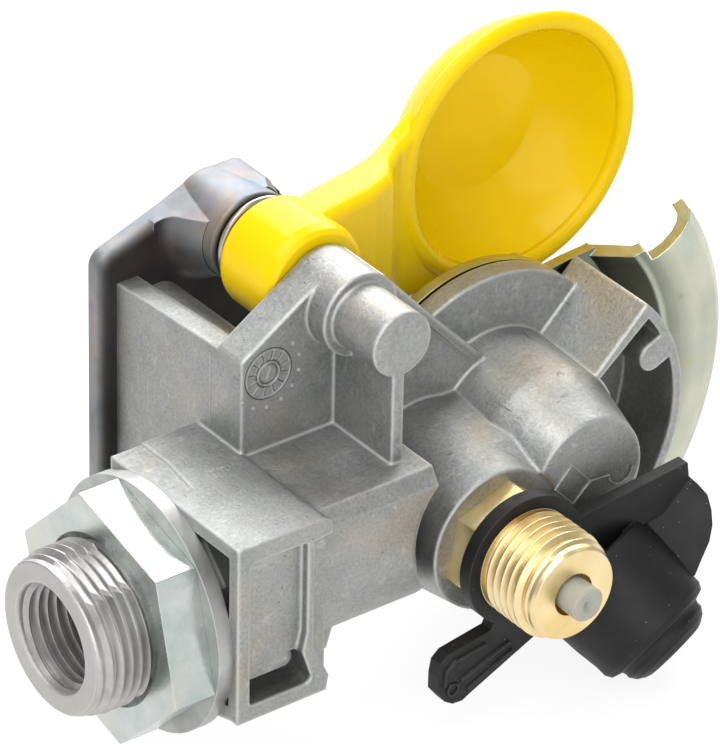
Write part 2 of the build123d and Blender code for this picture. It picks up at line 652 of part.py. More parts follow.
# Lid: hub, arm and dish in one piece
LID_X, LID_Z = PIVOT_X + LID_REACH, PIVOT_Z - LID_DROP
with BuildPart() as lid:
    # Arm with rounded edges, which leans away from the body and widens to the dish
    for x, near, far, low, high in ARM_SECTIONS:
        with BuildSketch(side(x)):
            with Locations(((near + far) / 2, PIVOT_Z + (low + high) / 2)):
                RectangleRounded(far - near, high - low, ARM_ROUND)
    loft(ruled=True)
    with BuildSketch(turned(PIVOT_X, PIVOT_Z)):
        with BuildLine():
            Polyline(
                (0, HUB_END_Y),
                (0, HUB_Y),
                (HUB_R - 1.0, HUB_Y),
                (HUB_R - 0.4, HUB_Y + 0.6),
                (HUB_R, HUB_Y + 2.0),
                (HUB_R, HUB_END_Y - HUB_DOME),
            )
            ThreePointArc(
                (HUB_R, HUB_END_Y - HUB_DOME),
                (HUB_R - 0.3 * HUB_DOME, HUB_END_Y - 0.3 * HUB_DOME),
                (HUB_R - HUB_DOME, HUB_END_Y),
            )
            Line((HUB_R - HUB_DOME, HUB_END_Y), (0, HUB_END_Y))
        make_face()
    revolve(axis=y_axis(PIVOT_X, PIVOT_Z))
    # Dish, with its rolled lip
    with BuildSketch(turned(LID_X, LID_Z)):
        with BuildLine():
            Polyline((0, DISH_BACK_Y), (0, DISH_Y + 1.4), (DISH_IN_R, DISH_Y + 1.4), (DISH_IN_R, DISH_Y + 1.0))
            ThreePointArc(
                (DISH_IN_R, DISH_Y + 1.0),
                ((DISH_IN_R + DISH_R) / 2, DISH_Y),
                (DISH_R, DISH_Y + 1.2),
            )
            Polyline((DISH_R, DISH_Y + 1.2), (DISH_R - 0.5, DISH_Y + 2.0))
            ThreePointArc((DISH_R - 0.5, DISH_Y + 2.0), (DISH_R - 4.3, DISH_BACK_Y - 4.2), (11.8, DISH_BACK_Y))
            Line((11.8, DISH_BACK_Y), (0, DISH_BACK_Y))
        make_face()
    revolve(axis=y_axis(LID_X, LID_Z))
    with BuildSketch(turned(LID_X, LID_Z)):
        with BuildLine():
            Polyline((0, DISH_FLOOR_Y), (0, DISH_Y - 8), (DISH_IN_R, DISH_Y - 8), (DISH_IN_R, DISH_Y + 1.0))
            ThreePointArc(
                (DISH_IN_R, DISH_Y + 1.0),
                (DISH_IN_R - 3.3, DISH_FLOOR_Y - 4.1),
                (10.6, DISH_FLOOR_Y),
            )
            Line((10.6, DISH_FLOOR_Y), (0, DISH_FLOOR_Y))
        make_face()
    revolve(axis=y_axis(LID_X, LID_Z), mode=Mode.SUBTRACT)
    with BuildSketch(front(HUB_END_Y)):
        with Locations((PIVOT_X, PIVOT_Z)):
            Circle(PIN_R + PIN_RUN)
    extrude(amount=HUB_END_Y - HUB_Y, mode=Mode.SUBTRACT)
lid.part.label = "lid"

# Lid pin, its clip and the spring round it
CLIP_Y = RAISED_Y + SHEET_T
with BuildPart() as lid_pin:
    with BuildSketch(turned(PIVOT_X, PIVOT_Z)):
        Polygon(
            (0, PIN_IN_Y),
            (PIN_R, PIN_IN_Y),
            (PIN_R, CLIP_Y),
            (CLIP_GROOVE_R, CLIP_Y),
            (CLIP_GROOVE_R, CLIP_Y + CLIP_T),
            (PIN_R, CLIP_Y + CLIP_T),
            (PIN_R, PIN_OUT_Y - 0.4),
            (PIN_R - 0.4, PIN_OUT_Y),
            (0, PIN_OUT_Y),
            align=None,
        )
    revolve(axis=y_axis(PIVOT_X, PIVOT_Z))
lid_pin.part.label = "lid_pin"

with BuildPart() as pin_retaining_ring:
    with BuildSketch(front(CLIP_Y + CLIP_T)):
        with Locations((PIVOT_X, PIVOT_Z)):
            Circle(CLIP_R)
            Circle(CLIP_GROOVE_R, mode=Mode.SUBTRACT)
            with Locations((0, -CLIP_R)):
                Rectangle(3.4, 8.0, mode=Mode.SUBTRACT)
    extrude(amount=CLIP_T)
pin_retaining_ring.part.label = "pin_retaining_ring"


def coil(x, z, low, high, mean, wire, turns):
    """Open coil spring about a Y axis, its wire resting on planes y = low and y = high."""
    run = high - low - 2 * wire
    line = Helix(run / turns, run, mean, center=(x, low + wire, z), direction=(0, 1, 0))
    section = Plane(origin=line @ 0, z_dir=line % 0)
    return sweep(section * Circle(wire), path=line)


LID_SPRING = coil(
    PIVOT_X, PIVOT_Z, HUB_END_Y, RAISED_Y, LID_SPRING_R, LID_WIRE_R, LID_SPRING_TURNS
)
with BuildPart() as lid_spring:
    add(LID_SPRING)
lid_spring.part.label = "lid_spring"

# Claw plate: a flat ring under the palm boss with a pressed claw on its far side
CLAW_Y = FLANGE_Y + FLANGE_T + PLATE_GAP
CLAW_Z = PALM_Z - CLAW_DROP
CLAW_UNDER = (
    (20.0, CLAW_Y),
    (26.2, CLAW_Y),
    (28.0, 7.4),
    (29.6, 4.3),
    (32.0, 3.0),
    (34.2, 2.6),
    (36.8, 2.7),
    (39.0, 3.4),
    (40.7, 5.0),
    (41.4, 7.4),
)
CLAW_OVER = (
    (39.7, 8.0),
    (39.0, 6.0),
    (38.0, 5.1),
    (36.4, 4.5),
    (34.2, 4.4),
    (32.5, 4.8),
    (30.8, 5.9),
    (29.6, 8.4),
    (27.4, CLAW_Y + CLAW_T),
    (20.0, CLAW_Y + CLAW_T),
)
with BuildPart() as claw_plate:
    with BuildSketch(front(CLAW_Y + CLAW_T)):
        with Locations((PALM_X, PALM_Z)):
            Circle(CLAW_RING_OUT)
            Polygon(
                polar(18.0, 50.0),
                polar(CLAW_RING_OUT, 49.0),
                polar(23.6, 43.5),
                polar(26.4, 38.5),
                polar(27.3, CLAW_INNER_TURN),
                polar(27.3, CLAW_TURN),
                polar(18.0, CLAW_TURN),
                align=None,
            )
            Circle(CLAW_RING_IN, mode=Mode.SUBTRACT)
    extrude(amount=CLAW_T)
    claw_start = Plane(
        origin=(PALM_X, 0, CLAW_Z),
        x_dir=(cos(radians(CLAW_TURN)), 0, sin(radians(CLAW_TURN))),
        z_dir=(-sin(radians(CLAW_TURN)), 0, cos(radians(CLAW_TURN))),
    )
    with BuildSketch(claw_start):
        Polygon(*CLAW_UNDER, *CLAW_OVER, align=None)
    revolve(axis=y_axis(PALM_X, CLAW_Z), revolution_arc=CLAW_TURN - HOOK_FROM)
    with BuildSketch(claw_start):
        Polygon(*CLAW_UNDER[:4], (31.2, 3.4), (31.8, 5.2), *CLAW_OVER[6:], align=None)
    revolve(axis=y_axis(PALM_X, CLAW_Z), revolution_arc=CLAW_TURN - CLAW_INNER_TURN)
    # Hook that grips the mating head, below the lid's sweep
    hook_start = Plane(
        origin=(PALM_X, 0, CLAW_Z),
        x_dir=(cos(radians(HOOK_TO)), 0, sin(radians(HOOK_TO))),
        z_dir=(-sin(radians(HOOK_TO)), 0, cos(radians(HOOK_TO))),
    )
    with BuildSketch(hook_start):
        Polygon(
            (39.6, 7.0),
            (41.3, 7.0),
            (41.0, 21.0),
            (39.6, 24.4),
            (36.8, 25.6),
            (31.5, 25.6),
            (31.5, 23.8),
            (36.2, 23.8),
            (38.2, 23.0),
            (39.2, 20.8),
            align=None,
        )
    revolve(axis=y_axis(PALM_X, CLAW_Z), revolution_arc=HOOK_TO - HOOK_FROM)
    with BuildSketch(front(CLAW_Y + CLAW_T)):
        for turn in CLAW_SCREWS:
            spot = polar(CLAW_SCREW_AT_R, turn)
            with Locations((PALM_X + spot[0], PALM_Z + spot[1])):
                Circle(1.3)
    extrude(amount=CLAW_T, mode=Mode.SUBTRACT)
claw_plate.part.label = "claw_plate"

with BuildPart() as claw_plate_screws:
    for turn in CLAW_SCREWS:
        spot = polar(CLAW_SCREW_AT_R, turn)
        with BuildSketch(turned(PALM_X + spot[0], PALM_Z + spot[1])):
            Polygon(
                (0, CLAW_Y - 3.2),
                (1.2, CLAW_Y - 3.2),
                (1.2, CLAW_Y + CLAW_T),
                (2.1, CLAW_Y + CLAW_T),
                (2.1, CLAW_Y + CLAW_T + 1.0),
                (1.6, CLAW_Y + CLAW_T + 1.5),
                (0, CLAW_Y + CLAW_T + 1.5),
                align=None,
            )
        revolve(axis=y_axis(PALM_X + spot[0], PALM_Z + spot[1]))
claw_plate_screws.part.label = "claw_plate_screws"

# Palm seal and the ring that holds it
with BuildPart() as palm_seal:
    with BuildSketch(turned(PALM_X, PALM_Z)):
        Polygon(
            (SEAL_IN_R, SEAL_SEAT_Y),
            (SEAL_SEAT_R, SEAL_SEAT_Y),
            (SEAL_SEAT_R, SEAL_SEAT_Y + SEAL_FOOT_T),
            (SEAL_R, SEAL_SEAT_Y + SEAL_FOOT_T),
            (SEAL_R, SEAL_TOP_Y - 0.6),
            (SEAL_R - 0.6, SEAL_TOP_Y),
            (SEAL_IN_R + 1.6, SEAL_TOP_Y),
            (SEAL_IN_R + 0.6, SEAL_TOP_Y - 0.8),
            (SEAL_IN_R + 1.8, SEAL_TOP_Y - 2.2),
            (SEAL_IN_R, SEAL_TOP_Y - 3.2),
            align=None,
        )
    revolve(axis=y_axis(PALM_X, PALM_Z))
palm_seal.part.label = "palm_seal"

with BuildPart() as seal_retaining_ring:
    with BuildSketch(front(PALM_FACE_Y)):
        with Locations((PALM_X, PALM_Z)):
            Circle(SEAL_SEAT_R)
            Circle(SEAL_R, mode=Mode.SUBTRACT)
    extrude(amount=PALM_FACE_Y - SEAL_SEAT_Y - SEAL_FOOT_T)
seal_retaining_ring.part.label = "seal_retaining_ring"

# Filter stack, from the snap ring down to its spring
with BuildPart() as snap_ring:
    with BuildSketch(front(SNAP_Y + SNAP_T)):
        with Locations((PALM_X, PALM_Z)):
            Circle(GROOVE_R)
            Circle(9.2, mode=Mode.SUBTRACT)
            with Locations((0, -10.4)):
                Rectangle(5.0, 3.2, mode=Mode.SUBTRACT)
    extrude(amount=SNAP_T)
snap_ring.part.label = "snap_ring"

with BuildPart() as filter_top_ring:
    with BuildSketch(front(SNAP_Y)):
        with Locations((PALM_X, PALM_Z)):
            Circle(FILTER_LIP_R)
            Circle(FILTER_R - FILTER_WALL, mode=Mode.SUBTRACT)
    extrude(amount=SNAP_Y - FILTER_LIP_Y - RING_CORD)
filter_top_ring.part.label = "filter_top_ring"

with BuildPart() as filter_o_ring:
    with BuildSketch(turned(PALM_X, PALM_Z)):
        with Locations((CHAMBER_R - RING_CORD / 2, FILTER_LIP_Y + RING_CORD / 2)):
            Circle(RING_CORD / 2)
    revolve(axis=y_axis(PALM_X, PALM_Z))
filter_o_ring.part.label = "filter_o_ring"

with BuildPart() as filter_element:
    with BuildSketch(turned(PALM_X, PALM_Z)):
        Polygon(
            (0, FILTER_FOOT_Y),
            (FILTER_R, FILTER_FOOT_Y),
            (FILTER_R, FILTER_LIP_Y - 1.0),
            (FILTER_LIP_R, FILTER_LIP_Y - 1.0),
            (FILTER_LIP_R, FILTER_LIP_Y),
            (FILTER_R - FILTER_WALL, FILTER_LIP_Y),
            (FILTER_R - FILTER_WALL, FILTER_FOOT_Y + 1.0),
            (0, FILTER_FOOT_Y + 1.0),
            align=None,
        )
    revolve(axis=y_axis(PALM_X, PALM_Z))
filter_element.part.label = "filter_element"

with BuildPart() as filter_spring_seat:
    with BuildSketch(front(SPRING_WELL_Y + SEAT_T)):
        with Locations((PALM_X, PALM_Z)):
            Circle(SPRING_WELL_R - 0.1)
            Circle(3.4, mode=Mode.SUBTRACT)
    extrude(amount=SEAT_T)
filter_spring_seat.part.label = "filter_spring_seat"

FILTER_SPRING = coil(
    PALM_X,
    PALM_Z,
    SPRING_WELL_Y + SEAT_T,
    FILTER_FOOT_Y,
    FILTER_SPRING_R,
    FILTER_WIRE_R,
    FILTER_SPRING_TURNS,
)
with BuildPart() as filter_spring:
    add(FILTER_SPRING)
filter_spring.part.label = "filter_spring"

# Test connection: brass fitting and the valve inside it
with BuildPart() as test_fitting:
    with BuildSketch(front(TEST_FACE_Y)):
        with Locations((TEST_X, TEST_Z)):
            RegularPolygon(HEX_FLATS / 2, 6, major_radius=False, rotation=HEX_TURN)
    extrude(amount=TEST_FACE_Y - HEX_Y)
    with BuildSketch(turned(TEST_X, TEST_Z)):
        Polygon(
            (0, FITTING_FOOT_Y),
            (M12_R, FITTING_FOOT_Y),
            (M12_R, TEST_FACE_Y - 0.5),
            (NECK_R - 1.5, HEX_Y + 0.5),
            (NECK_R - 0.05, HEX_Y + 0.5),
            (NECK_R - 0.05, NECK_Y),
            (M16_ROOT_R, NECK_Y),
            (M16_ROOT_R, THREAD_Y - 1.1),
            (FITTING_END_R, FITTING_END_Y),
            (0, FITTING_END_Y),
            align=None,
        )
    revolve(axis=y_axis(TEST_X, TEST_Z))
    with BuildSketch(turned(TEST_X, TEST_Z)):
        Polygon(
            (0, FITTING_FOOT_Y),
            (VALVE_ROOM_R, FITTING_FOOT_Y),
            (VALVE_ROOM_R, VALVE_SEAT_Y),
            (CORE_R + CORE_RUN, VALVE_SEAT_Y),
            (CORE_R + CORE_RUN, MOUTH_Y),
            (TEST_MOUTH_R, MOUTH_Y),
            (TEST_MOUTH_R, FITTING_END_Y),
            (0, FITTING_END_Y),
            align=None,
        )
    revolve(axis=y_axis(TEST_X, TEST_Z), mode=Mode.SUBTRACT)
    with BuildSketch(turned(TEST_X, TEST_Z)):
        Polygon(
            (M12_R - 0.9, TEST_FACE_Y + 1.8),
            (M12_R + 0.2, TEST_FACE_Y + 1.8),
            (M12_R + 0.2, TEST_FACE_Y + 3.4),
            (M12_R - 0.9, TEST_FACE_Y + 3.4),
            align=None,
        )
    revolve(axis=y_axis(TEST_X, TEST_Z), mode=Mode.SUBTRACT)
test_fitting.part.label = "test_fitting"

with BuildPart() as test_fitting_seal:
    with BuildSketch(turned(TEST_X, TEST_Z)):
        with Locations((M12_R - 0.45, TEST_FACE_Y + 2.6)):
            Circle(0.45)
    revolve(axis=y_axis(TEST_X, TEST_Z))
test_fitting_seal.part.label = "test_fitting_seal"

HEAD_Y = VALVE_SEAT_Y + VALVE_SEAL_T
with BuildPart() as test_valve_core:
    with BuildSketch(turned(TEST_X, TEST_Z)):
        Polygon(
            (0, CORE_TIP_Y + 0.8),
            (1.1, CORE_TIP_Y),
            (CORE_R - 0.4, CORE_TIP_Y),
            (CORE_R, CORE_TIP_Y + 0.4),
            (CORE_R, HEAD_Y),
            (CORE_HEAD_R, HEAD_Y),
            (CORE_HEAD_R, HEAD_Y + CORE_HEAD_T),
            (CORE_SHOE_R, HEAD_Y + CORE_HEAD_T),
            (CORE_SHOE_R, HEAD_Y + CORE_HEAD_T + 3.0),
            (0, HEAD_Y + CORE_HEAD_T + 3.0),
            align=None,
        )
    revolve(axis=y_axis(TEST_X, TEST_Z))
test_valve_core.part.label = "test_valve_core"

with BuildPart() as test_valve_seal:
    with BuildSketch(front(HEAD_Y)):
        with Locations((TEST_X, TEST_Z)):
            Circle(CORE_HEAD_R)
            Circle(CORE_R, mode=Mode.SUBTRACT)
    extrude(amount=VALVE_SEAL_T)
test_valve_seal.part.label = "test_valve_seal"

RETAINER_Y = FITTING_FOOT_Y - RETAINER_T
with BuildPart() as test_valve_retainer:
    with BuildSketch(front(FITTING_FOOT_Y)):
        with Locations((TEST_X, TEST_Z)):
            Circle(VALVE_ROOM_R)
            Circle(1.8, mode=Mode.SUBTRACT)
    extrude(amount=RETAINER_T)
test_valve_retainer.part.label = "test_valve_retainer"

VALVE_SPRING = coil(
    TEST_X,
    TEST_Z,
    HEAD_Y + CORE_HEAD_T,
    RETAINER_Y,
    VALVE_SPRING_R,
    VALVE_WIRE_R,
    VALVE_SPRING_TURNS,
)
with BuildPart() as test_valve_spring:
    add(VALVE_SPRING)
test_valve_spring.part.label = "test_valve_spring"

# Rubber cap: band round the fitting, pull tab, strap and the cap that hangs from it
cap_plane = Plane(origin=CAP_MOUTH, x_dir=CAP_ACROSS, z_dir=CAP_AXIS)
cap_side = Plane(origin=CAP_MOUTH, x_dir=cap_plane.x_dir, z_dir=cap_plane.y_dir)
CAP_PROFILE = (
    (0, 0),
    (9.5, 0),
    (9.9, 0.5),
    (9.9, 4.0),
    (9.7, 7.5),
    (9.3, 11.0),
    (9.3, 12.6),
    (8.8, 13.5),
    (7.3, 14.0),
    (7.1, 14.5),
    (7.1, 15.2),
    (6.5, 16.1),
    (5.4, 16.8),
    (4.8, CAP_LENGTH),
    (0, CAP_LENGTH),
)
FLAP_OUTLINE = (
    (7.6, 0.0),
    (18.6, 0.0),
    (18.8, 2.8),
    (18.7, 4.8),
    (17.6, 6.7),
    (16.2, 8.3),
    (14.3, 9.6),
    (12.0, 10.5),
    (9.6, 11.5),
    (7.6, 11.5),
)
STRAP_OUTLINE = (
    (55.6, -2.0),
    (55.6, 3.6),
    (57.0, 3.4),
    (75.7, 5.2),
    (76.1, 2.4),
    (73.0, -1.5),
    (58.0, -4.0),
)
with BuildPart() as rubber_cap:
    with BuildSketch(front(BAND_Y)):
        with Locations((TEST_X, TEST_Z)):
            Circle(BAND_R)
            Polygon(
                (-4.6, -7.0),
                (-5.8, -9.4),
                (-13.2, -10.6),
                (-14.5, -11.7),
                (-14.9, -13.8),
                (-14.9, -16.4),
                (-13.6, -18.2),
                (-12.2, -19.1),
                (-10.5, -19.2),
                (-9.0, -18.4),
                (2.0, -13.3),
                (6.0, -7.0),
                align=None,
            )
            Circle(NECK_R, mode=Mode.SUBTRACT)
    extrude(amount=BAND_T)
    # Cap, widest at its mouth, with two beads near its closed end
    with BuildSketch(cap_side):
        Polygon(*[(r, -s) for r, s in CAP_PROFILE], align=None)
    revolve(axis=Axis(CAP_MOUTH, cap_plane.z_dir))
    # Flap that joins the strap to the cap's side
    with BuildSketch(cap_side.offset(STRAP_T / 2)):
        Polygon(*[(r, -s) for r, s in FLAP_OUTLINE], align=None)
    extrude(amount=-STRAP_T)
    # Strap from the band out to the flap's corner
    with BuildSketch(front(BAND_Y)):
        Polygon(*STRAP_OUTLINE, align=None)
    extrude(amount=STRAP_T)
    with BuildSketch(cap_plane):
        Circle(CAP_IN_R)
    extrude(amount=CAP_LENGTH - CAP_FLOOR, mode=Mode.SUBTRACT)
rubber_cap.part.label = "rubber_cap"

PARTS = (
    body_casting,
    lock_nut,
    flat_washer,
    stop_plate,
    stop_plate_screws,
    lid,
    lid_pin,
    pin_retaining_ring,
    lid_spring,
    claw_plate,
    claw_plate_screws,
    palm_seal,
    seal_retaining_ring,
    snap_ring,
    filter_top_ring,
    filter_o_ring,
    filter_element,
    filter_spring_seat,
    filter_spring,
    test_fitting,
    test_fitting_seal,
    test_valve_core,
    test_valve_seal,
    test_valve_retainer,
    test_valve_spring,
    rubber_cap,
)
os.makedirs("parts", exist_ok=True)
for piece in PARTS:
    export_step(piece.part, "parts/" + piece.part.label + ".step")
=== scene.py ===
import json
import math

import bmesh
import bpy
from mathutils import Euler, Matrix, Vector


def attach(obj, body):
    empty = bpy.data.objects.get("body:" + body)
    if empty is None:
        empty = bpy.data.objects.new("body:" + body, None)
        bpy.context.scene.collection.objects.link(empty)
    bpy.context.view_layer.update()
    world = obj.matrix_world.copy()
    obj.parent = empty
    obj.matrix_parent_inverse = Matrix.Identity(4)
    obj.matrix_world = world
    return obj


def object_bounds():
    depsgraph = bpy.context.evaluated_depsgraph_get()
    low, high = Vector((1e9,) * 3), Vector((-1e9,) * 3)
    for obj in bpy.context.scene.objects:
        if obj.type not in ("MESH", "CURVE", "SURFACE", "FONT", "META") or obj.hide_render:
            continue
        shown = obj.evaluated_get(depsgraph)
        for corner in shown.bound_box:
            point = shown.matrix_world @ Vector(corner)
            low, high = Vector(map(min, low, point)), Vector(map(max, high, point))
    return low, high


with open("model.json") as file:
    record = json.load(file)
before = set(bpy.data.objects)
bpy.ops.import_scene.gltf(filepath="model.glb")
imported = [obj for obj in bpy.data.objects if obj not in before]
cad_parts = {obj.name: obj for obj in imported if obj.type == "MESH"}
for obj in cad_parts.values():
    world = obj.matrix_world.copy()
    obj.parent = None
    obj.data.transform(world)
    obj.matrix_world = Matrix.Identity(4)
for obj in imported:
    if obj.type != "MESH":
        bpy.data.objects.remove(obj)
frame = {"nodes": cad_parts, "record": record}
CAD_BOX = [list(corner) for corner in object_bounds()]
MOUNTS = {mount["name"]: mount for mount in frame["record"]["mounts"]}
MM = 0.001
FRONT = (0, -1, 0)


# Camera, solved from the photograph
CAMERA_AT = Vector((-424.18, -597.86, 494.70)) * MM
CAMERA_TURN = (57.99435, -1.01764, -36.86403)  # degrees about X, Y and Z
FOCAL_PX, PHOTO_HEIGHT_PX = 6500.0, 744.0
SENSOR = 36.0
CLIP_NEAR, CLIP_FAR = 0.05, 20.0

camera_data = bpy.data.cameras.new("camera")
camera = bpy.data.objects.new("camera", camera_data)
bpy.context.scene.collection.objects.link(camera)
camera_turn = Euler([math.radians(angle) for angle in CAMERA_TURN])
camera.matrix_world = Matrix.LocRotScale(CAMERA_AT, camera_turn, None)
camera_data.sensor_fit = "VERTICAL"
camera_data.sensor_height = SENSOR
camera_data.lens = FOCAL_PX / PHOTO_HEIGHT_PX * SENSOR
camera_data.clip_start = CLIP_NEAR
camera_data.clip_end = CLIP_FAR
bpy.context.scene.camera = camera


# Materials
BEVEL_SAMPLES = 6
STUD_FROM_X, STUD_FULL_X = -4.0, -6.0
CLAW_X, CLAW_Z = 62.7, 4.1  # the claw plate's axis, which runs along Y
# Radii in mm round the claw's axis: painted shade in the hollow is full within HOLLOW_IN_R and
# gone by HOLLOW_OUT_R, and a painted highlight lies on the crease at CREASE_R.
HOLLOW_OUT_R, HOLLOW_IN_R, CREASE_R = 34.5, 29.5, 29.9


class Maker:
    """A node material with its shader, and short calls to add what feeds it."""

    def __init__(self, name, **sockets):
        self.material = bpy.data.materials.new(name)
        self.material.use_nodes = True
        self.tree = self.material.node_tree
        self.shader = self.tree.nodes["Principled BSDF"]
        self.where = self.tree.nodes.new("ShaderNodeTexCoord")
        self.edge_normal = None
        for key, value in sockets.items():
            self.shader.inputs[key.replace("_", " ")].default_value = value

    def node(self, kind, **values):
        made = self.tree.nodes.new("ShaderNode" + kind)
        for key, value in values.items():
            setattr(made, key, value)
        return made

    def join(self, a, b):
        self.tree.links.new(a, b)

    def place(self, stretch=(1, 1, 1), shift=0.0):
        """A point's place in the frame, stretched, or shifted along X and Y, for one pattern."""
        spot = self.where.outputs["Object"]
        if stretch == (1, 1, 1) and shift == 0.0:
            return spot
        move = self.node("Mapping")
        move.inputs["Scale"].default_value = stretch
        move.inputs["Location"].default_value = (shift, shift, 0)
        self.join(spot, move.inputs["Vector"])
        return move.outputs["Vector"]

    def noise(self, scale, detail, rough, stretch=(1, 1, 1), seed=0.0):
        made = self.node("TexNoise", noise_dimensions="4D")
        made.inputs["Scale"].default_value = scale
        made.inputs["Detail"].default_value = detail
        made.inputs["Roughness"].default_value = rough
        made.inputs["W"].default_value = seed
        self.join(self.place(stretch), made.inputs["Vector"])
        return made.outputs["Fac"]

    def specks(self, scale, size, shift=0.0):
        """Small round spots: 1 in a spot, 0 outside."""
        made = self.node("TexVoronoi", feature="F1")
        made.inputs["Scale"].default_value = scale
        self.join(self.place(shift=shift), made.inputs["Vector"])
        return self.span(made.outputs["Distance"], size * 1.6, size * 0.6)

    def span(self, value, low, high, out_low=0.0, out_high=1.0):
        """Turns the range from low to high into the range from out_low to out_high."""
        made = self.node("MapRange", clamp=True)
        ends = {"From Min": low, "From Max": high, "To Min": out_low, "To Max": out_high}
        for key, number in ends.items():
            made.inputs[key].default_value = number
        self.join(value, made.inputs["Value"])
        return made.outputs["Result"]

    def combine(self, how, a, b):
        """A Math node on two values, each a socket or a number."""
        made = self.node("Math", operation=how)
        for socket, value in zip(made.inputs, (a, b)):
            if isinstance(value, (int, float)):
                socket.default_value = value
            else:
                self.join(value, socket)
        return made.outputs[0]

    def times(self, a, b):
        return self.combine("MULTIPLY", a, b)

    def mix(self, share, a, b):
        """Colour a with a share of colour b, each colour a socket or a tuple."""
        made = self.node("MixRGB")
        self.join(share, made.inputs["Fac"])
        for key, value in (("Color1", a), ("Color2", b)):
            if isinstance(value, tuple):
                made.inputs[key].default_value = (*value, 1.0)
            else:
                self.join(value, made.inputs[key])
        return made.outputs["Color"]

    def tinted(self, base, tint, height, low, high, share=1.0):
        """A colour with a tint: none of it where a height is at low, and a share of it at high."""
        return self.mix(self.span(height, low, high, 0.0, share), base, tint)

    def facing(self, direction):
        """1 where the surface faces a direction, 0 from nearly square to it on."""
        dot = self.node("VectorMath", operation="DOT_PRODUCT")
        dot.inputs[1].default_value = direction
        self.join(self.where.outputs["Normal"], dot.inputs[0])
        return self.span(dot.outputs["Value"], 0.2, 0.9)

    def along(self, axis, start, end):
        """0 before a place along an axis of the frame, in mm, and 1 after another."""
        parts = self.node("SeparateXYZ")
        self.join(self.where.outputs["Object"], parts.inputs[0])
        return self.span(parts.outputs[axis], start * MM, end * MM)

    def from_axis(self, x, z):
        """Distance in mm from a line along Y."""
        shift = self.node("VectorMath", operation="SUBTRACT")
        shift.inputs[1].default_value = (x * MM, 0, z * MM)
        self.join(self.where.outputs["Object"], shift.inputs[0])
        flat = self.node("VectorMath", operation="MULTIPLY")
        flat.inputs[1].default_value = (1 / MM, 0, 1 / MM)
        self.join(shift.outputs[0], flat.inputs[0])
        long = self.node("VectorMath", operation="LENGTH")
        self.join(flat.outputs[0], long.inputs[0])
        return long.outputs["Value"]

    def soft_edges(self, radius):
        """Shades the edges as if they were rounded, by a radius in mm."""
        made = self.node("Bevel", samples=BEVEL_SAMPLES)
        made.inputs["Radius"].default_value = radius * MM
        self.edge_normal = made.outputs["Normal"]

    def edge_highlights(self, base, tint, share):
        """A colour with a share of a painted highlight along the edges that soft_edges rounds."""
        plain = self.node("NewGeometry")
        dot = self.node("VectorMath", operation="DOT_PRODUCT")
        self.join(self.edge_normal, dot.inputs[0])
        self.join(plain.outputs["Normal"], dot.inputs[1])
        bent = self.combine("SUBTRACT", 1.0, dot.outputs["Value"])
        return self.mix(self.times(self.span(bent, 0.02, 0.25), share), base, tint)

    def color(self, value):
        self.join(value, self.shader.inputs["Base Color"])

    def rough(self, height, low, high):
        """Roughness that goes from low to high as a height rises."""
        self.join(self.span(height, 0.3, 0.7, low, high), self.shader.inputs["Roughness"])

    def bump(self, *layers):
        """Stacks bump layers, each a height, a distance in mm and a strength."""
        normal = self.edge_normal
        for height, distance, strength in layers:
            made = self.node("Bump")
            made.inputs["Strength"].default_value = strength
            made.inputs["Distance"].default_value = distance * MM
            self.join(height, made.inputs["Height"])
            if normal is not None:
                self.join(normal, made.inputs["Normal"])
            normal = made.outputs["Normal"]
        self.join(normal, self.shader.inputs["Normal"])


def cast_metal():
    """Rough casting, blotched and pitted, with cuts, painted highlights along its edges and a
    lighter stud.
    """
    m = Maker("cast_metal", Metallic=1.0)
    m.soft_edges(0.95)
    base = m.tinted((0.29, 0.30, 0.285), (0.43, 0.44, 0.42), m.noise(55, 5, 0.6), 0.36, 0.66)
    base = m.tinted(base, (0.40, 0.40, 0.39), m.noise(230, 5, 0.7, seed=3), 0.40, 0.64, 0.7)
    base = m.tinted(base, (0.50, 0.42, 0.33), m.noise(75, 4, 0.6, seed=8), 0.52, 0.70, 0.45)
    base = m.tinted(base, (0.31, 0.35, 0.37), m.noise(95, 4, 0.6, seed=15), 0.54, 0.72, 0.35)
    streaks = m.noise(420, 4, 0.7, stretch=(1, 3, 1), seed=27)
    base = m.tinted(base, (0.62, 0.62, 0.61), streaks, 0.56, 0.72, 0.6)
    pits = m.times(m.specks(560, 0.07), m.span(m.noise(130, 2, 0.5, seed=21), 0.50, 0.60))
    base = m.mix(m.times(pits, 0.7), base, (0.14, 0.13, 0.12))
    scars = m.noise(520, 3, 0.6, stretch=(1.0, 0.3, 2.2), seed=5)
    scars = m.span(scars, 0.66, 0.74, 0.0, 0.75)
    base = m.mix(scars, base, (0.17, 0.16, 0.15))
    cuts = m.noise(430, 3, 0.6, stretch=(0.4, 1.0, 2.6), seed=44)
    base = m.tinted(base, (0.16, 0.16, 0.16), cuts, 0.67, 0.74, 0.7)
    grain = m.noise(2000, 3, 0.75, seed=33)
    base = m.tinted(base, (0.58, 0.58, 0.57), grain, 0.46, 0.66, 0.22)
    base = m.tinted(base, (0.18, 0.18, 0.18), grain, 0.52, 0.34, 0.28)
    base = m.mix(m.along("X", STUD_FROM_X, STUD_FULL_X), base, (0.50, 0.49, 0.47))
    # Painted highlight: a pale tint along the rounded edges.
    m.color(m.edge_highlights(base, (0.78, 0.78, 0.77), 0.8))
    m.rough(m.noise(160, 4, 0.6, seed=2), 0.46, 0.64)
    m.bump(
        (grain, 0.07, 0.75),
        (m.noise(300, 5, 0.65, seed=1), 0.26, 0.55),
        (m.noise(60, 3, 0.5, seed=14), 0.7, 0.3),
        (m.times(m.combine("MAXIMUM", pits, scars), -1.0), 0.12, 0.7),
    )
    return m.material


